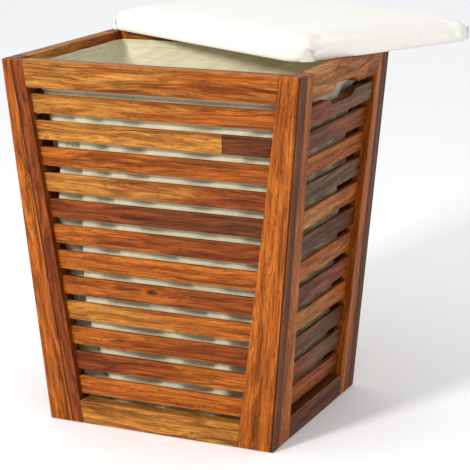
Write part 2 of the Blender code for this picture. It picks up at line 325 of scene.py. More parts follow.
def end_and_edge_masks(tree, normal, grain):
    """Where the end grain shows, and where the eased edges are paler from wear and from a painted
    highlight.
    """
    along = add_node(tree, "VectorMath", {0: normal, 1: grain}, operation='DOT_PRODUCT')["Value"]
    along = add_node(tree, "Math", {0: along}, operation='ABSOLUTE')[0]
    end_grain = add_node(tree, "MapRange", {"Value": along}, span=(0.80, 0.95, 0.0, 0.45), **SMOOTH)[0]
    faces = add_node(tree, "VectorMath", {0: normal}, operation='ABSOLUTE')[0]
    sides = add_node(tree, "SeparateXYZ", {"Vector": faces})
    widest = add_node(tree, "Math", {0: sides[0], 1: sides[1]}, operation='MAXIMUM')[0]
    widest = add_node(tree, "Math", {0: widest, 1: sides[2]}, operation='MAXIMUM')[0]
    # Faces that lie between the main directions are the eased edges: painted paler, partly as wear and
    # partly as a highlight.
    edge_wear_and_highlight = add_node(tree, "MapRange", {"Value": widest}, span=(0.78, 0.90, 0.22, 0.0), **SMOOTH)[0]
    return end_grain, edge_wear_and_highlight


def oiled_acacia(node, wood, seed):
    """Oiled acacia: golden, orange and dark heartwood in one board, open pores, a low satin shine.

    Edges are eased and slightly paler, partly where the oil wears off and partly as a painted highlight.
    End grain drinks oil and is darker.
    Real pores are 0.2 mm wide, too fine to show, so they are drawn about 1 mm wide.
    """
    material, tree, shader = new_material(f"oiled acacia, {node.replace('_', ' ')}")
    origin, grain, across = board_frame(node)
    turn = Matrix((grain, across, grain.cross(across))).transposed().to_euler()
    place = add_node(tree, "TexCoord")
    straight = add_node(tree, "Mapping", {"Vector": place["Object"], "Location": origin,
                                          "Rotation": turn}, vector_type='TEXTURE')[0]
    local, knot_mask = straight, None
    if node in KNOTS:
        local, knot_mask = bent_by_knot(tree, straight, KNOTS[node])
    wander = grain_noise(tree, local, 0.16, 0.03, seed, detail=1.0)
    sway = add_node(tree, "Math", {0: wander, 1: 0.026, 2: -0.013}, operation='MULTIPLY_ADD')[0]
    bend = add_node(tree, "CombineXYZ", {"Y": sway, "Z": sway})[0]
    flow = add_node(tree, "VectorMath", {0: local, 1: bend}, operation='ADD')[0]

    width = wood.figure_width
    figure = grain_noise(tree, flow, 0.38, width, seed + 3.1, detail=3.0)
    flame = grain_noise(tree, flow, 0.055, width * 0.55, seed + 15.3)
    lines = grain_noise(tree, flow, 0.06, wood.line_width, seed + 5.7)
    pores = grain_noise(tree, flow, 0.010, wood.pore_width, seed + 9.2, detail=1.0)
    streaks = grain_noise(tree, flow, 0.40, width * 0.45, seed + 12.4, detail=1.0)

    second, glue_line = strip_meeting(tree, node, straight)
    first_tone, second_tone = (strip_tones(tree, figure, flame, tuple(getattr(wood, tone)))
                               for tone in board_tones(node))
    colour = add_node(tree, "Mix", {0: second, 6: first_tone, 7: second_tone}, **COLOURS)[2]
    line_shade = add_node(tree, "MapRange", {"Value": lines}, span=(0.36, 0.62, 0.70, 1.20), **SMOOTH)[0]
    line_grey = add_node(tree, "CombineColor", {0: line_shade, 1: line_shade, 2: line_shade})[0]
    colour = add_node(tree, "Mix", {0: 1.0, 6: colour, 7: line_grey}, blend_type='MULTIPLY', **COLOURS)[2]
    streak_mask = add_node(tree, "MapRange", {"Value": streaks}, span=(0.61, 0.72, 0.0, 0.60),
                           **SMOOTH)[0]
    pore_mask = add_node(tree, "MapRange", {"Value": pores}, span=(0.58, 0.68, 0.0, 0.50), **SMOOTH)[0]
    end_grain, edge_wear_and_highlight = end_and_edge_masks(tree, place["Normal"], grain)
    dark = shade(tuple(wood.brown), 0.42)
    # The eased edges' paler tone is partly wear of the oil and partly a painted highlight along the
    # arrises.
    marks = [(streak_mask, dark), (pore_mask, dark), (glue_line, shade(dark, 0.7)),
             (knot_mask, shade(dark, 0.7)), (end_grain, shade(dark, 1.5)),
             (edge_wear_and_highlight, shade(tuple(wood.golden), 1.35))]
    for mask, tone in marks:
        if mask:
            colour = add_node(tree, "Mix", {0: mask, 6: colour, 7: tone}, **COLOURS)[2]

    satin = add_node(tree, "MapRange", {"Value": figure},
                     span=(0.30, 0.70, wood.roughness + 0.10, wood.roughness - 0.05), **SMOOTH)[0]
    rough = add_node(tree, "Math", {0: pore_mask, 1: 0.40, 2: satin}, operation='MULTIPLY_ADD')[0]
    ridges = add_node(tree, "Math", {0: lines, 1: 0.5}, operation='MULTIPLY')[0]
    relief = add_node(tree, "Math", {0: pore_mask, 1: -1.8, 2: ridges}, operation='MULTIPLY_ADD')[0]
    finish_shader(tree, shader, colour, rough, relief, 0.35, 0.4 * MILLIMETRE)
    shader.inputs["IOR"].default_value = 1.5
    shader.inputs["Specular IOR Level"].default_value = 0.10
    shader.inputs["Coat Weight"].default_value = 0.015
    shader.inputs["Coat Roughness"].default_value = 0.30
    return material


def birch_plywood(node, wood, seed):
    """Birch plywood: pale, even faces with wide grain, and light and dark plies along the edges."""
    material, tree, shader = new_material(f"birch plywood, {node.replace('_', ' ')}")
    low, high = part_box(node)
    ply_count = 7
    place = add_node(tree, "TexCoord")
    local = add_node(tree, "Mapping", {"Vector": place["Object"], "Location": low},
                     vector_type='TEXTURE')[0]
    figure = grain_noise(tree, local, 0.25, 0.012, seed, detail=3.0)
    pores = grain_noise(tree, local, 0.012, 0.0012, seed + 4.0)
    birch = tuple(wood.birch)
    face = add_node(tree, "ValToRGB", {"Fac": figure},
                    stops=[(0.30, shade(birch, 0.78, 1.04)), (0.5, birch), (0.70, shade(birch, 1.12))])[0]
    height = add_node(tree, "SeparateXYZ", {"Vector": local})["Z"]
    layer = add_node(tree, "Math", {0: height, 1: ply_count * math.pi / (high.z - low.z)},
                     operation='MULTIPLY')[0]
    layer = add_node(tree, "Math", {0: layer}, operation='SINE')[0]
    plies = add_node(tree, "MapRange", {"Value": layer}, span=(-0.2, 0.2), **SMOOTH)[0]
    edge = add_node(tree, "Mix", {0: plies, 6: shade(birch, 0.55, 1.06), 7: shade(birch, 0.95)},
                    **COLOURS)[2]
    up = add_node(tree, "SeparateXYZ", {"Vector": place["Normal"]})["Z"]
    up = add_node(tree, "Math", {0: up}, operation='ABSOLUTE')[0]
    flat = add_node(tree, "MapRange", {"Value": up}, span=(0.5, 0.7), **SMOOTH)[0]
    colour = add_node(tree, "Mix", {0: flat, 6: edge, 7: face}, **COLOURS)[2]
    pore_mask = add_node(tree, "MapRange", {"Value": pores}, span=(0.56, 0.66, 0.0, 0.35), **SMOOTH)[0]
    colour = add_node(tree, "Mix", {0: pore_mask, 6: colour, 7: shade(birch, 0.45)}, **COLOURS)[2]
    rough = add_node(tree, "MapRange", {"Value": figure}, span=(0.3, 0.7, 0.68, 0.56), **SMOOTH)[0]
    finish_shader(tree, shader, colour, rough, pores, 0.2, 0.2 * MILLIMETRE)
    shader.inputs["IOR"].default_value = 1.5
    return material


# ---------------------------------------------------------------- cloth materials
def canvas_weave(tree, flat, spacing):
    """Height of a plain weave on the piece's own UV map, which is in metres."""
    uneven = add_node(tree, "TexNoise", {"Vector": flat, "Scale": 0.12 / spacing, "Detail": 2.0})["Color"]
    drift = add_node(tree, "VectorMath", {0: uneven, "Scale": spacing * 1.2}, operation='SCALE')[0]
    moved = add_node(tree, "VectorMath", {0: flat, 1: drift}, operation='ADD')[0]
    turns = add_node(tree, "VectorMath", {0: moved, "Scale": math.pi / spacing}, operation='SCALE')[0]
    waves = add_node(tree, "VectorMath", {0: turns}, operation='SINE')[0]
    across = add_node(tree, "SeparateXYZ", {"Vector": waves})
    return add_node(tree, "Math", {0: across[0], 1: across[1]}, operation='MULTIPLY')[0]


def uneven_threads(tree, flat, spacing):
    """Thicker and thinner threads: noise drawn out along the warp and along the weft."""
    width, length = 1 / (spacing * 1.3), 1 / 0.045
    drawn = []
    for scale, seed in (((width, length, 1.0), 2.0), ((length, width, 1.0), 7.0)):
        stretched = add_node(tree, "Mapping", {"Vector": flat, "Scale": scale,
                                               "Location": (seed, seed, 0)})[0]
        drawn.append(add_node(tree, "TexNoise", {"Vector": stretched, "Scale": 1.0, "Detail": 1.0})[0])
    both = add_node(tree, "Math", {0: drawn[0], 1: drawn[1]}, operation='ADD')[0]
    return add_node(tree, "Math", {0: both, 1: 0.5}, operation='MULTIPLY')[0]


def cotton_canvas(name, colour, cloth, dirt, flecks, coarseness=1.0):
    """Cotton canvas: a matt plain weave with slubs and a faint bloom of loose fibre.

    Real threads lie 0.6 mm apart, too fine to show, so they are drawn at the thread spacing setting.
    dirt is how much deeper the colour gets in wide, soft patches, and flecks how many seeds show.
    coarseness scales how strongly the threads and the painted shade in their hollows show: bleached,
    pressed cloth is smoother.
    """
    material, tree, shader = new_material(name)
    colour = tuple(colour)
    flat = add_node(tree, "UVMap", uv_map="cloth")[0]
    weave = canvas_weave(tree, flat, cloth.thread_spacing)
    thread = uneven_threads(tree, flat, cloth.thread_spacing)
    tone = add_node(tree, "ValToRGB", {"Fac": thread},
                    stops=[(0.36, shade(colour, 1 - 0.14 * coarseness)), (0.5, colour),
                           (0.62, shade(colour, 1 + 0.07 * coarseness))])[0]
    patches = add_node(tree, "Mapping", {"Vector": flat, "Scale": (14.0, 4.0, 1.0)})[0]
    stain = add_node(tree, "TexNoise", {"Vector": patches, "Scale": 1.0, "Detail": 2.0})[0]
    stain_mask = add_node(tree, "MapRange", {"Value": stain}, span=(0.42, 0.68, 0.0, dirt), **SMOOTH)[0]
    # Painted shade: the weave's hollows between the threads are darker.
    weave_hollow_shade = add_node(tree, "MapRange", {"Value": weave}, span=(-0.9, 0.1, 0.55 * coarseness, 0.0),
                           **SMOOTH)[0]
    seeds = add_node(tree, "TexVoronoi", {"Vector": flat, "Scale": 90.0})["Distance"]
    seed_mask = add_node(tree, "MapRange", {"Value": seeds}, span=(0.03, 0.09, flecks, 0.0), **SMOOTH)[0]
    marks = [(stain_mask, shade(colour, 0.66, 1.03)), (weave_hollow_shade, shade(colour, 0.72)),
             (seed_mask, linear("#7d6648"))]
    for mask, mark in marks:
        tone = add_node(tree, "Mix", {0: mask, 6: tone, 7: mark}, **COLOURS)[2]
    rough = add_node(tree, "MapRange", {"Value": weave}, span=(-1.0, 1.0, 0.98, 0.86), **SMOOTH)[0]
    relief = add_node(tree, "Math", {0: thread, 1: 1.6, 2: weave}, operation='MULTIPLY_ADD')[0]
    finish_shader(tree, shader, tone, rough, relief, 0.3 * coarseness, 0.4 * MILLIMETRE)
    shader.inputs["IOR"].default_value = 1.45
    shader.inputs["Sheen Weight"].default_value = 0.20
    shader.inputs["Sheen Roughness"].default_value = 0.55
    return material


def sewing_thread(name, colour):
    """Spun cotton thread: two twisted strands, a little brighter and smoother than the canvas."""
    material, tree, shader = new_material(name)
    place = add_node(tree, "TexCoord")["Object"]
    twist = add_node(tree, "TexWave", {"Vector": place, "Scale": 260.0, "Distortion": 1.5},
                     wave_type='BANDS', bands_direction='DIAGONAL')[0]
    # Painted shade: the darker bands lie in the grooves between the twisted strands.
    tone = add_node(tree, "Mix", {0: twist, 6: shade(tuple(colour), 0.7), 7: shade(tuple(colour), 1.05)},
                    **COLOURS)[2]
    rough = add_node(tree, "MapRange", {"Value": twist, "To Min": 0.75, "To Max": 0.55}, **SMOOTH)[0]
    finish_shader(tree, shader, tone, rough, twist, 0.4, 0.2 * MILLIMETRE)
    return material


# ---------------------------------------------------------------- mesh helpers
def select_only(obj):
    """Select one object and make it the active one. None leaves nothing selected."""
    bpy.ops.object.select_all(action='DESELECT')
    bpy.context.view_layer.objects.active = obj
    if obj:
        obj.select_set(True)


def apply_modifiers(obj):
    """Apply an object's modifiers in their order."""
    select_only(obj)
    for modifier in list(obj.modifiers):
        bpy.ops.object.modifier_apply(modifier=modifier.name)


def smooth_edges(obj, degrees=40):
    """Shade smooth, but keep edges sharper than the angle."""
    select_only(obj)
    bpy.ops.object.shade_smooth_by_angle(angle=math.radians(degrees))


def thicken(obj, thickness, offset):
    """Give a cloth surface its thickness."""
    solid = obj.modifiers.new("Cloth thickness", 'SOLIDIFY')
    solid.thickness = thickness
    solid.offset = offset
    apply_modifiers(obj)


def object_from(surface, name):
    """Turn a bmesh into an object of the scene."""
    mesh = bpy.data.meshes.new(name)
    surface.to_mesh(mesh)
    surface.free()
    obj = bpy.data.objects.new(name, mesh)
    bpy.context.scene.collection.objects.link(obj)
    return obj


def ring_cells(count_x, count_y):
    """Whole-number steps round the edge of a grid, counter-clockwise from its lower left corner."""
    ring = [(i, 0) for i in range(count_x)]
    ring += [(count_x, j) for j in range(count_y)]
    ring += [(i, count_y) for i in range(count_x, 0, -1)]
    ring += [(0, j) for j in range(count_y, 0, -1)]
    return ring


def grid_faces(count_x, count_y):
    """The four grid steps at the corners of each face of a grid."""
    return [((i, j), (i + 1, j), (i + 1, j + 1), (i, j + 1))
            for i in range(count_x) for j in range(count_y)]


def unit_square(cell, counts):
    """A grid step as a point of the square from -1 to 1."""
    return -1 + 2 * cell[0] / counts[0], -1 + 2 * cell[1] / counts[1]


def rounded(u, v, half_x, half_y, radius):
    """Carry a point on the unit square's edge to a rounded rectangle, evenly round its corners."""
    x, y = u * half_x, v * half_y
    if abs(x) <= half_x - radius or abs(y) <= half_y - radius:
        return Vector((x, y, 0))
    past = (half_x - abs(x)) - (half_y - abs(y))
    angle = math.radians(45) * (1 + past / radius)
    return Vector((math.copysign(half_x - radius + radius * math.cos(angle), x),
                   math.copysign(half_y - radius + radius * math.sin(angle), y), 0))


def inside_rounded(u, v, half_x, half_y, radius):
    """Carry any point of the unit square into a rounded rectangle."""
    share = max(abs(u), abs(v))
    if share == 0:
        return Vector((0, 0, 0))
    return rounded(u / share, v / share, half_x, half_y, radius) * share


def build_surface(name, rings, counts, caps=(), closed=False):
    """A mesh from rings that follow ring_cells. Each ring is a list of (point, flat place) pairs.

    caps holds (ring index, function). The function gives such a pair for any point of the unit square,
    and fills that ring with a grid. The flat place is where a point lies on the uncut cloth.
    """
    surface = bmesh.new()
    flat = surface.verts.layers.float_vector.new("flat")

    def add_vertex(point, flat_place):
        vertex = surface.verts.new(point)
        vertex[flat] = (*flat_place, 0)
        return vertex

    loops = [[add_vertex(*pair) for pair in ring] for ring in rings]
    pairs = list(zip(loops, loops[1:]))
    if closed:
        pairs.append((loops[-1], loops[0]))
    for lower, upper in pairs:
        for i in range(len(lower)):
            j = (i + 1) % len(lower)
            surface.faces.new((lower[i], lower[j], upper[j], upper[i]))
    for index, fill in caps:
        grid = dict(zip(ring_cells(*counts), loops[index]))
        for i in range(1, counts[0]):
            for j in range(1, counts[1]):
                grid[i, j] = add_vertex(*fill(*unit_square((i, j), counts)))
        for corners in grid_faces(*counts):
            surface.faces.new([grid[cell] for cell in corners])
    bmesh.ops.recalc_face_normals(surface, faces=surface.faces)
    uv = surface.loops.layers.uv.new("cloth")
    for face in surface.faces:
        for loop in face.loops:
            loop[uv].uv = loop.vert[flat][:2]
    return object_from(surface, name)


def smooth_step(value, low, high):
    """0 up to low and 1 from high, with a soft rise between them."""
    share = min(max((value - low) / (high - low), 0.0), 1.0)
    return share * share * (3 - 2 * share)


def run_cloth(obj, pinned, settings, gravity, frames, reach):
    """Let a mesh settle as cloth, then hold each point within reach of where it started."""
    start = [vertex.co.copy() for vertex in obj.data.vertices]
    group = obj.vertex_groups.new(name="pinned")
    for index, weight in pinned.items():
        group.add([index], weight, 'REPLACE')
    cloth = obj.modifiers.new("Cloth", 'CLOTH')
    cloth.settings.vertex_group_mass = group.name
    for name, value in settings.items():
        setattr(cloth.settings, name, value)
    cloth.settings.effector_weights.gravity = gravity
    cloth.point_cache.frame_end = frames
    for number in range(1, frames + 1):
        bpy.context.scene.frame_set(number)
    bpy.context.view_layer.update()
    apply_modifiers(obj)
    bpy.context.scene.frame_set(1)
    for vertex, before in zip(obj.data.vertices, start):
        move = vertex.co - before
        if move.length > reach:
            vertex.co = before + move * (reach / move.length)
    obj.vertex_groups.clear()


def finish_piece(obj, body, material, stands_for=()):
    """Give a piece its material, the body that it moves with, and the plain solids it stands for."""
    obj.data.materials.clear()
    obj.data.materials.append(material)
    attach(obj, body)
    if stands_for:
        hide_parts(*stands_for)


# ---------------------------------------------------------------- liner
# How many faces the liner and its hem have along their long and short sides.
LINER_COUNTS, HEM_COUNTS = (62, 44), (120, 88)
# Radius of the bag's upright corners, and of its mouth's, in metres.
LINER_CORNER, HEM_CORNER = 0.020, 0.006
# How far the seam down each corner stands inward, and how far it spreads to each side, in metres.
SEAM_RIDGE, SEAM_WIDTH = 0.0018, 0.006
# The turned hem's thickness: two layers of canvas and the turn between them.
HEM_LAYERS = 2.4


def bag_sizes():
    """The levels of the plain bag's walls from their foot up: (height, half width, half depth)."""
    bottom_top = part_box("liner_bag")[0].z + 4 * MILLIMETRE
    levels = {}
    for vertex in NODES["liner_bag"].data.vertices:
        height = round(vertex.co.z, 4)
        if height > bottom_top:
            half = levels.get(height, (0.0, 0.0))
            levels[height] = (max(half[0], vertex.co.x), max(half[1], vertex.co.y))
    return sorted((height, *half) for height, half in levels.items())


def bag_size_at(levels, height):
    """Half width and half depth of the bag at a height between its levels."""
    for (low, *small), (high, *large) in zip(levels, levels[1:]):
        if height <= high:
            share = (height - low) / (high - low)
            return [a + (b - a) * share for a, b in zip(small, large)]
    return levels[-1][1:]


def fold_at(point, along, height, levels, cloth):
    """How far the liner stands inward at a place, from its folds, its slack and its corners.

    lean and wander carry a fold sideways and are in fold widths. The terms of the last sum are shares
    of the fold depth. The side walls hang with less slack than the front and the back.
    """
    foot, top = levels[0][0], levels[-2][0]
    half_x, half_y = bag_size_at(levels, height)
    from_side, from_front = half_x - abs(point.x), half_y - abs(point.y)
    fold_count = round(4 * (levels[-1][1] + levels[-1][2]) / cloth.fold_width)
    lean = 1.98 * (top - height) / (top - foot)
    lean *= noise.noise(Vector((3 * point.x, 3 * point.y, 7.0)))
    wander = 1.1 * noise.noise(Vector((5 * point.x, 5 * point.y, 4 * height)))
    fold = 0.5 - 0.5 * math.cos(2 * math.pi * (fold_count * along + lean + wander))
    strength = 0.85 + 0.9 * noise.noise(Vector((4 * point.x + 3, 4 * point.y, 3 * height)))
    crease = 0.10 * noise.noise(Vector((22 * point.x, 22 * point.y, 9 * height)))
    corner_pull = 0.45 * (1 - smooth_step(math.hypot(from_side, from_front), 0.015, 0.065))
    slack = 0.16 if from_side < from_front else 0.34
    hang = smooth_step(top - height, 0.0, 0.10)
    return cloth.fold_depth * hang * (fold * max(strength, 0.15) - slack + crease + corner_pull)


def liner_ring(height, levels, cloth):
    """One level ring of the bag, with its folds and the ridge of the seam down each corner.

    The corners are tight at the hem and soft below it. The seam runs down the middle of each corner's
    arc, which lies to_arc inside the square corner on both sides.
    """
    top, hem_foot, flare_foot = levels[-1][0], levels[-2][0], levels[-3][0]
    half_x, half_y = bag_size_at(levels, height)
    corner = LINER_CORNER + (HEM_CORNER - LINER_CORNER) * smooth_step(height, flare_foot, hem_foot)
    to_arc = 0.29 * corner
    seam = Vector((half_x - to_arc, half_y - to_arc, 0))
    cells = ring_cells(*LINER_COUNTS)
    ring = []
    for step, cell in enumerate(cells):
        point = rounded(*unit_square(cell, LINER_COUNTS), half_x, half_y, corner)
        along = step / len(cells)
        from_seam = (Vector((abs(point.x), abs(point.y), 0)) - seam).length
        inward = fold_at(point, along, height, levels, cloth)
        inward += SEAM_RIDGE * (1 - smooth_step(from_seam, 0.0, SEAM_WIDTH))
        direction = Vector((-(point.x / half_x) ** 5, -(point.y / half_y) ** 5, 0))
        point += direction.normalized() * inward
        point.z = height
        ring.append((point, (4 * (half_x + half_y) * along, top - height)))
    return ring


def build_liner_bag(levels, cloth):
    """Open canvas bag that hangs from the rails in soft folds and rests on the base board."""
    row_count = 72
    top, foot = levels[-1][0], levels[0][0]
    rings = [liner_ring(top + (foot - top) * row / row_count, levels, cloth)
             for row in range(row_count + 1)]
    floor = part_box("base_board")[1].z + 2 * MILLIMETRE
    half_x, half_y = (size - LINER_CORNER / 2 for size in bag_size_at(levels, foot))
    turned = []
    for cell, (point, flat) in zip(ring_cells(*LINER_COUNTS), rings[-1]):
        place = rounded(*unit_square(cell, LINER_COUNTS), half_x, half_y, LINER_CORNER)
        place.z = floor
        turned.append((place, (flat[0], flat[1] + (point - place).length)))
    rings.append(turned)

    def bottom(u, v):
        place = inside_rounded(u, v, half_x, half_y, LINER_CORNER)
        ripple = max(noise.noise(Vector((11 * place.x, 11 * place.y, 2.0))), 0.0)
        place.z = floor + 4 * MILLIMETRE * ripple * (1 - max(abs(u), abs(v)))
        return place, (place.x, place.y)

    return build_surface("liner", rings, LINER_COUNTS, caps=[(len(rings) - 1, bottom)])


def settle_liner(liner, levels):
    """Let the canvas sag between its hem and its foot. It is cut slightly larger than the frame."""
    foot, hem_foot = levels[0][0] + 2 * MILLIMETRE, levels[-2][0] - MILLIMETRE
    pinned = {vertex.index: 1.0 for vertex in liner.data.vertices if not foot <= vertex.co.z <= hem_foot}
    settings = {"quality": 6, "mass": 0.25, "tension_stiffness": 20.0, "compression_stiffness": 12.0,
                "shear_stiffness": 6.0, "bending_stiffness": 0.6, "tension_damping": 12.0,
                "compression_damping": 12.0, "shear_damping": 12.0, "air_damping": 3.0,
                "shrink_min": -0.022}
    run_cloth(liner, pinned, settings, gravity=1.0, frames=22, reach=6 * MILLIMETRE)


def keep_off_slats(liner, levels):
    """Let the bag bulge outward past its plain shape only so far that it keeps off the slats."""
    spare = 5 * MILLIMETRE
    for vertex in liner.data.vertices:
        if vertex.co.z >= levels[0][0]:
            half_x, half_y = (size + spare for size in bag_size_at(levels, vertex.co.z))
            vertex.co.x = max(-half_x, min(half_x, vertex.co.x))
            vertex.co.y = max(-half_y, min(half_y, vertex.co.y))


def mouth_ring(levels, inward, height):
    """A level ring just inside the bag's mouth."""
    _, half_x, half_y = levels[-1]
    ring = []
    for cell in ring_cells(*HEM_COUNTS):
        point = rounded(*unit_square(cell, HEM_COUNTS), half_x - inward, half_y - inward, HEM_CORNER)
        point.z = height
        ring.append(point)
    return ring


def build_hem(levels, cloth):
    """Turned hem: a double band of canvas round the bag's mouth, against the rails."""
    top, half_x, half_y = levels[-1]
    gap, wave_height = 0.2 * MILLIMETRE, 0.8 * MILLIMETRE
    thick, high = HEM_LAYERS * cloth.thickness, cloth.hem_height
    bead = thick * 0.3
    section = [(0, 0), (0, high), (bead, high + bead * 0.6), (thick - bead, high + bead * 0.6),
               (thick, high), (thick * 0.8, high * 0.55), (thick * 0.62, high * 0.22),
               (thick, high * 0.10), (thick * 0.7, -bead)]
    around = 4 * (half_x + half_y)
    rings = []
    for number, (inward, rise) in enumerate(section):
        ring = []
        points = mouth_ring(levels, inward + gap, top - high + rise)
        for step, point in enumerate(points):
            wave = noise.noise(Vector((30 * point.x, 30 * point.y, 0.0))) * rise / high
            point.z += wave_height * wave
            ring.append((point, (around * step / len(points), number * high / 4)))
        rings.append(ring)
    return build_surface("liner_hem", rings, HEM_COUNTS, closed=True)


def stitch_template(cloth):
    """One stitch along X: a short, fat thread whose ends dip down into the cloth."""
    thread_radius = 0.42 * MILLIMETRE
    body_length, end_length = cloth.stitch_length * 0.62, cloth.stitch_length * 0.14
    end_width, end_dip = 0.45, thread_radius * 0.6
    select_only(None)
    bpy.ops.mesh.primitive_cylinder_add(vertices=6, radius=thread_radius, depth=body_length,
                                        rotation=(0, math.radians(90), 0))
    stitch = bpy.context.object
    bpy.ops.object.transform_apply(location=True, rotation=True, scale=True)
    bpy.ops.object.mode_set(mode='EDIT')
    bpy.ops.mesh.select_all(action='DESELECT')
    edit = bmesh.from_edit_mesh(stitch.data)
    for face in edit.faces:
        face.select_set(abs(face.normal.x) > 0.9)
    bmesh.update_edit_mesh(stitch.data)
    bpy.ops.mesh.extrude_region_move(TRANSFORM_OT_translate={"value": (0, 0, 0)})
    edit = bmesh.from_edit_mesh(stitch.data)
    for vertex in edit.verts:
        if vertex.select:
            vertex.co.x += math.copysign(end_length, vertex.co.x)
            vertex.co.y *= end_width
            vertex.co.z = vertex.co.z * end_width - end_dip
    bmesh.update_edit_mesh(stitch.data)
    bpy.ops.object.mode_set(mode='OBJECT')
    return stitch


def walk_ring(ring, spacing):
    """Places at even spacing along a closed ring of points, each with its direction."""
    places = []
    left = 0.0
    for here, there in zip(ring, ring[1:] + ring[:1]):
        step = there - here
        direction = step.normalized()
        while left <= step.length:
            places.append((here + direction * left, direction))
            left += spacing
        left -= step.length
    return places


def build_stitches(levels, cloth):
    """Row of stitches that holds the turned hem down, on the side that shows."""
    inset, drop = HEM_LAYERS * cloth.thickness * 0.72, cloth.hem_height * 0.8
    spacing = cloth.stitch_length * 1.25
    ring = mouth_ring(levels, inset, levels[-1][0] - drop)
    template = stitch_template(cloth)
    row = bmesh.new()
    for place, direction in walk_ring(ring, spacing):
        inward = Vector((0, 0, 1)).cross(direction)
        turn = Matrix((direction, inward.cross(direction), inward)).transposed().to_4x4()
        copy = template.data.copy()
        copy.transform(Matrix.Translation(place) @ turn)
        row.from_mesh(copy)
        bpy.data.meshes.remove(copy)
    bmesh.ops.recalc_face_normals(row, faces=row.faces)
    bpy.data.objects.remove(template)
    return object_from(row, "liner_hem_stitches")


# ---------------------------------------------------------------- lid
# How many faces the cushion has along its long and short sides.
LID_COUNTS = (76, 54)
# Radius of the lid's corners, and how far a corner fold runs from its corner, in metres.
LID_CORNER, FOLD_LENGTH = 0.034, 0.026


def lid_place():
    """The lid's own frame, at the middle of its underside, read from its board."""
    low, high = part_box("lid_board")
    upright = [face for face in NODES["lid_board"].data.polygons
               if abs(face.normal.z) < 0.1 and face.normal.y > 0.1]
    widest = max(upright, key=lambda face: face.area)
    turn = math.atan2(widest.normal.y, widest.normal.x) - math.radians(90)
    middle = (low + high) / 2
    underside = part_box("lid_underside_cloth")[0].z
    return Matrix.Translation((middle.x, middle.y, underside)) @ Matrix.Rotation(turn, 4, 'Z')


def lid_half_sizes(node, place):
    """Half length, half width and top of a lid piece in the lid's own frame."""
    back = place.inverted()
    points = [back @ vertex.co for vertex in NODES[node].data.vertices]
    return [max(point[axis] for point in points) for axis in range(3)]


def cushion_side(u, v, inset, height, sizes, lid):
    """A point of the cushion's side, pulled in between the corners and slightly puckered."""
    half_x, half_y, thickness = sizes
    mid_side = 1 - min(abs(u), abs(v)) ** 2
    bulge = math.sin(math.pi * min(max(height / thickness, 0.0), 1.0))
    inset += lid.pull_in * mid_side ** 1.5 * bulge
    corner = max(LID_CORNER - inset, 4 * MILLIMETRE)
    point = rounded(u, v, half_x - inset, half_y - inset, corner)
    pucker = 0.0035 * noise.noise(Vector((38 * point.x, 38 * point.y, 20 * height)))
    point *= 1 + pucker * bulge
    point.z = height
    return point


def cushion_profile(sizes, lid, lip, pocket):
    """The cushion's section from its pocket, round the lip and up to its upper edge: (inset, height)."""
    side_foot = 3 * MILLIMETRE
    edge_height = sizes[2] - lid.crown
    side_top = edge_height - lid.edge_radius
    profile = [(lip, pocket), (lip, pocket * 0.5), (lip, 0.6 * MILLIMETRE), (lip * 0.8, 0.0),
               (lip * 0.5, 0.0), (lip * 0.22, 0.8 * MILLIMETRE), (lip * 0.06, side_foot)]
    side_rows, edge_rows = 4, 7
    for row in range(1, side_rows + 1):
        profile.append((0.0, side_foot + (side_top - side_foot) * row / side_rows))
    for row in range(1, edge_rows + 1):
        angle = math.radians(90) * row / edge_rows
        inset = lid.edge_radius * (1 - math.cos(angle))
        profile.append((inset, side_top + lid.edge_radius * math.sin(angle)))
    return profile


def build_cushion(place, sizes, lid, lip, pocket):
    """Crowned, covered foam pad with soft edges, hollow below where the lid's board sits."""
    profile = cushion_profile(sizes, lid, lip, pocket)
    half_x, half_y, _ = sizes
    edge_inset, edge_height = profile[-1]
    rings = []
    for number, (inset, height) in enumerate(profile):
        run = sum(math.dist(*pair) for pair in zip(profile[:number], profile[1:]))
        ring = []
        for cell in ring_cells(*LID_COUNTS):
            u, v = unit_square(cell, LID_COUNTS)
            point = cushion_side(u, v, inset, height, sizes, lid)
            ring.append((place @ point, (point.x - u * run, point.y - v * run)))
        rings.append(ring)

    def crowned_top(u, v):
        point = inside_rounded(u, v, half_x - edge_inset, half_y - edge_inset, LID_CORNER - edge_inset)
        from_edge = 1 - max(abs(u), abs(v))
        rise = lid.crown * ((1 - u ** 4) * (1 - v ** 4)) ** 0.75
        dimple = 0.6 * MILLIMETRE * noise.noise(Vector((16 * point.x, 16 * point.y, 4.0)))
        mid_side = 1 - min(abs(u), abs(v)) ** 2
        pulled = 1 - 0.012 * mid_side * smooth_step(1 - from_edge, 0.8, 1.0)
        height = edge_height + rise + dimple * min(from_edge * 8, 1)
        point = Vector((point.x * pulled, point.y * pulled, height))
        return place @ point, (point.x, point.y)

    def pocket_ceiling(u, v):
        point = inside_rounded(u, v, half_x - lip, half_y - lip, LID_CORNER - lip)
        point.z = pocket
        return place @ point, (point.x, point.y)

    return build_surface("lid_padding", rings, LID_COUNTS,
                         caps=[(0, pocket_ceiling), (len(rings) - 1, crowned_top)])


def inflate_cushion(cushion, place, free_above):
    """Let pressure fill the cover. Everything round the board stays where it is."""
    back = place.inverted()
    pinned = {}
    for vertex in cushion.data.vertices:
        weight = 1 - smooth_step((back @ vertex.co).z, free_above, free_above * 2)
        if weight > 0:
            pinned[vertex.index] = weight
    settings = {"quality": 5, "mass": 0.3, "tension_stiffness": 25.0, "compression_stiffness": 25.0,
                "bending_stiffness": 2.0, "use_pressure": True, "uniform_pressure_force": 4.0}
    run_cloth(cushion, pinned, settings, gravity=0.0, frames=12, reach=4 * MILLIMETRE)


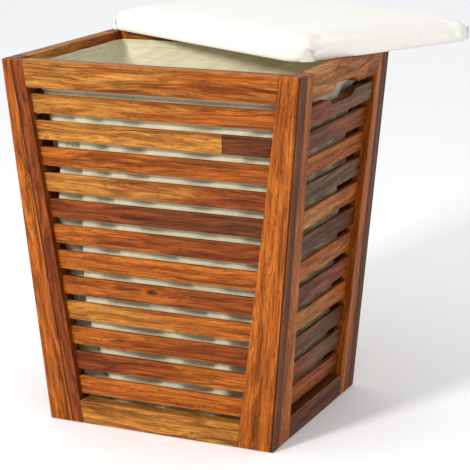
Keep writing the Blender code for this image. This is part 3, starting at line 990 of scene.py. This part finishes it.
def build_corner_fold(number, place, sizes, lid, cloth):
    """Folded flap of the cover at one corner: the spare cloth is laid to one side and tucked under.

    It is high at the corner and runs out to a tip, where its points meet in one.
    """
    corner_u, corner_v = ((1, -1), (1, 1), (-1, 1), (-1, -1))[number]
    down_the_end = corner_u * corner_v < 0
    half = sizes[1] if down_the_end else sizes[0]
    columns, rows = 14, 10
    from_corner, start_lean = 0.985, 10 * MILLIMETRE
    bottom_gap, ease, lifted = 0.4 * MILLIMETRE, 0.3 * MILLIMETRE, 0.6 * MILLIMETRE
    surface = bmesh.new()
    uv = surface.loops.layers.uv.new("cloth")
    grid = {}
    for i in range(columns + 1):
        for j in range(rows + 1):
            along, up = i / columns, j / rows
            height = bottom_gap + lid.pleat_height * (1 - along) ** 0.8 * up
            share = from_corner - (FOLD_LENGTH * along + start_lean * up * (1 - along)) / half
            u, v = (corner_u, corner_v * share) if down_the_end else (corner_u * share, corner_v)
            base = cushion_side(u, v, 0.0, height, sizes, lid)
            outward = Vector((base.x, base.y, 0)).normalized()
            lift = ease + lifted * (1 - along) * math.sin(math.pi * up / 2)
            grid[i, j] = surface.verts.new(place @ (base + outward * lift))
    for corners in grid_faces(columns, rows):
        face = surface.faces.new([grid[cell] for cell in corners])
        for loop, (column, row) in zip(face.loops, corners):
            loop[uv].uv = (column * FOLD_LENGTH / columns, row * lid.pleat_height / rows)
    from_middle = grid[0, 0].co - place.translation
    bmesh.ops.remove_doubles(surface, verts=surface.verts, dist=MILLIMETRE / 100)
    bmesh.ops.recalc_face_normals(surface, faces=surface.faces)
    if sum((face.normal for face in surface.faces), Vector()).dot(from_middle) < 0:
        bmesh.ops.reverse_faces(surface, faces=surface.faces)
    fold = object_from(surface, f"lid_corner_fold_{number + 1}")
    thicken(fold, cloth.thickness * 0.7, offset=1.0)
    return fold


def build_underside(place, sizes):
    """Plain cloth stretched under the board, slightly puckered towards its edge."""
    half_x, half_y, _ = sizes
    counts = (60, 44)
    level, pucker_height, pucker_count = 0.42 * MILLIMETRE, 0.22 * MILLIMETRE, 95

    def cloth_point(u, v):
        point = inside_rounded(u, v, half_x, half_y, LID_CORNER)
        pucker = math.sin(pucker_count * math.atan2(point.y, point.x))
        point.z = level + pucker_height * pucker * smooth_step(max(abs(u), abs(v)), 0.85, 1.0)
        return place @ point, (point.x, point.y)

    ring = [cloth_point(*unit_square(cell, counts)) for cell in ring_cells(*counts)]
    return build_surface("lid_underside", [ring], counts, caps=[(0, cloth_point)])


# ---------------------------------------------------------------- operators
class HAMPER_OT_wood(bpy.types.Operator):
    """Give every board of the frame its own piece of oiled acacia"""
    bl_idname = "hamper.wood"
    bl_label = "Acacia boards"

    def execute(self, context):
        boards = [name for name in sorted(NODES) if name.split("_")[0] in WALL_FACES]
        if not boards:
            raise RuntimeError("the frame has no boards")
        for number, name in enumerate(boards):
            board = NODES[name].data
            board.materials.clear()
            board.materials.append(oiled_acacia(name, context.scene.hamper_wood, seed=number * 2.37))
        return {'FINISHED'}


class HAMPER_OT_plywood(bpy.types.Operator):
    """Give the base board and the lid's board their plywood"""
    bl_idname = "hamper.plywood"
    bl_label = "Plywood boards"

    def execute(self, context):
        for number, name in enumerate(("base_board", "lid_board")):
            board = NODES[name].data
            board.materials.clear()
            board.materials.append(birch_plywood(name, context.scene.hamper_wood, seed=number * 5.0))
        return {'FINISHED'}


class HAMPER_OT_liner(bpy.types.Operator):
    """Hang the canvas liner with its hem and stitching"""
    bl_idname = "hamper.liner"
    bl_label = "Liner"

    def execute(self, context):
        cloth = context.scene.hamper_cloth
        levels = bag_sizes()
        if len(levels) < 3:
            raise RuntimeError("the liner's solid has too few levels")
        liner = build_liner_bag(levels, cloth)
        settle_liner(liner, levels)
        keep_off_slats(liner, levels)
        thicken(liner, cloth.thickness, offset=-1.0)
        liner.data.shade_smooth()
        hem = build_hem(levels, cloth)
        stitches = build_stitches(levels, cloth)
        smooth_edges(hem)
        smooth_edges(stitches)
        canvas = cotton_canvas("natural cotton canvas", cloth.natural, cloth, dirt=0.55, flecks=0.5)
        thread = sewing_thread("cotton thread", cloth.thread)
        finish_piece(liner, "frame", canvas, stands_for=["liner_bag"])
        finish_piece(hem, "frame", canvas)
        finish_piece(stitches, "frame", thread)

        return {'FINISHED'}


class HAMPER_OT_lid(bpy.types.Operator):
    """Pad and cover the lid"""
    bl_idname = "hamper.lid"
    bl_label = "Padded lid"

    def execute(self, context):
        cloth, lid = context.scene.hamper_cloth, context.scene.hamper_lid
        place = lid_place()
        sizes = lid_half_sizes("lid_cushion", place)
        board_x, _, board_top = lid_half_sizes("lid_board", place)
        if board_x >= sizes[0]:
            raise RuntimeError("the lid's board does not fit inside its cushion")
        pocket = board_top + BOARD_GAP
        cushion = build_cushion(place, sizes, lid, sizes[0] - board_x - BOARD_GAP, pocket)
        inflate_cushion(cushion, place, free_above=pocket / 2)
        finer = cushion.modifiers.new("Finer", 'SUBSURF')
        finer.levels = finer.render_levels = 1
        apply_modifiers(cushion)
        smooth_edges(cushion, degrees=60)
        canvas = cotton_canvas("white cotton canvas", cloth.white, cloth, dirt=0.06, flecks=0.0,
                               coarseness=0.35)
        finish_piece(cushion, "lid", canvas, stands_for=["lid_cushion"])
        for number in range(4):
            fold = build_corner_fold(number, place, sizes, lid, cloth)
            smooth_edges(fold, degrees=60)
            finish_piece(fold, "lid", canvas)
        return {'FINISHED'}


class HAMPER_OT_underside(bpy.types.Operator):
    """Stretch the plain cloth under the lid"""
    bl_idname = "hamper.underside"
    bl_label = "Cloth under the lid"

    def execute(self, context):
        cloth = context.scene.hamper_cloth
        place = lid_place()
        sizes = lid_half_sizes("lid_underside_cloth", place)
        underside = build_underside(place, sizes)
        if not underside.data.polygons:
            raise RuntimeError("the cloth under the lid has no faces")
        thicken(underside, cloth.thickness * 0.4, offset=0.0)
        smooth_edges(underside)
        calico = cotton_canvas("cotton calico", cloth.natural, cloth, dirt=0.15, flecks=0.3)
        finish_piece(underside, "lid", calico, stands_for=["lid_underside_cloth"])
        return {'FINISHED'}


class HAMPER_OT_stage(bpy.types.Operator):
    """Set up the floor, the lights and the camera"""
    bl_idname = "hamper.stage"
    bl_label = "Stage"

    def execute(self, context):
        stage = context.scene.hamper_stage
        add_floor(stage)
        add_key_light(stage)
        light_the_sky(context.scene, stage.sky_strength)
        add_camera(context.scene, stage)
        context.scene.view_settings.view_transform = 'Standard'
        if context.scene.camera is None:
            raise RuntimeError("the scene has no camera")
        return {'FINISHED'}


# ---------------------------------------------------------------- stage
def pale_floor(stage):
    """Matt painted board: pale, with a barely uneven surface."""
    material, tree, shader = new_material("matt painted floor")
    place = add_node(tree, "TexCoord")["Object"]
    uneven = add_node(tree, "TexNoise", {"Vector": place, "Scale": 3.0, "Detail": 3.0})[0]
    floor = tuple(stage.floor)
    tone = add_node(tree, "Mix", {0: uneven, 6: shade(floor, 0.985), 7: floor}, **COLOURS)[2]
    rough = add_node(tree, "MapRange", {"Value": uneven, "To Min": 0.85, "To Max": 0.95}, **SMOOTH)[0]
    finish_shader(tree, shader, tone, rough, uneven, 0.1, 0.1 * MILLIMETRE)
    return material


def add_floor(stage):
    """Wide, pale floor just below the hamper's feet."""
    select_only(None)
    bpy.ops.mesh.primitive_plane_add(size=12.0, location=(0, 0, -BOARD_GAP))
    floor = bpy.context.object
    floor.name = "floor"
    floor.data.materials.append(pale_floor(stage))


def add_key_light(stage):
    """A square soft light at the front left that faces the hamper."""
    location = Vector((-0.8, -2.8, 1.75))
    aim = Vector((0, 0, RIM_HEIGHT / 2))
    turn = (aim - location).to_track_quat('-Z', 'Y').to_euler()
    select_only(None)
    bpy.ops.object.light_add(type='AREA', location=location, rotation=turn)
    light = bpy.context.object
    light.name = "key_light"
    light.data.shape = 'SQUARE'
    light.data.size = 0.45
    light.data.energy = stage.key_power


def light_the_sky(scene, strength):
    """Even, slightly cool light from all round."""
    scene.world = bpy.data.worlds.new("even studio light")
    scene.world.use_nodes = True
    background = scene.world.node_tree.nodes["Background"]
    background.inputs["Color"].default_value = linear("#fbfcff")
    background.inputs["Strength"].default_value = strength


def add_camera(scene, stage):
    """A long-lens camera that looks slightly down at the front and the right side."""
    azimuth, elevation = stage.azimuth, stage.elevation
    back = Vector((math.sin(azimuth) * math.cos(elevation), -math.cos(azimuth) * math.cos(elevation),
                   math.sin(elevation)))
    aim = Vector((stage.aim_right, 0, stage.aim_height * RIM_HEIGHT))
    level_right = Vector((math.cos(azimuth), math.sin(azimuth), 0))
    turn = Matrix((level_right, back.cross(level_right), back)).transposed()
    turn = turn @ Matrix.Rotation(stage.tilt, 3, 'Z')
    select_only(None)
    bpy.ops.object.camera_add(location=aim + back * stage.distance, rotation=turn.to_euler())
    camera = bpy.context.object
    camera.name = "camera"
    camera.data.sensor_width = 36.0
    camera.data.lens = stage.lens
    scene.camera = camera


# ---------------------------------------------------------------- panel
OPERATORS = (HAMPER_OT_wood, HAMPER_OT_plywood, HAMPER_OT_liner, HAMPER_OT_lid, HAMPER_OT_underside,
             HAMPER_OT_stage)
SETTINGS = {"hamper_wood": HamperWoodSettings, "hamper_cloth": HamperClothSettings,
            "hamper_lid": HamperLidSettings, "hamper_stage": HamperStageSettings}


class HAMPER_PT_panel(bpy.types.Panel):
    """Steps and settings of the hamper, in the order they are used"""
    bl_idname = "HAMPER_PT_panel"
    bl_label = "Laundry hamper"
    bl_space_type = 'VIEW_3D'
    bl_region_type = 'UI'
    bl_category = "Hamper"

    def draw(self, context):
        column = self.layout.column(align=True)
        for operator in OPERATORS:
            column.operator(operator.bl_idname)
        for name in SETTINGS:
            group = getattr(context.scene, name)
            box = self.layout.box()
            for setting in group.bl_rna.properties:
                if setting.identifier not in ("rna_type", "name"):
                    box.prop(group, setting.identifier)


def register():
    for settings in SETTINGS.values():
        bpy.utils.register_class(settings)
    for operator in OPERATORS:
        bpy.utils.register_class(operator)
    bpy.utils.register_class(HAMPER_PT_panel)
    for name, settings in SETTINGS.items():
        setattr(bpy.types.Scene, name, PointerProperty(type=settings))


def unregister():
    for name in SETTINGS:
        delattr(bpy.types.Scene, name)
    bpy.utils.unregister_class(HAMPER_PT_panel)
    for kind in (*reversed(OPERATORS), *reversed(SETTINGS.values())):
        bpy.utils.unregister_class(kind)


def main():
    register()
    for operator in OPERATORS:
        group, name = operator.bl_idname.split(".")
        getattr(getattr(bpy.ops, group), name)()


if __name__ == "__main__":
    main()
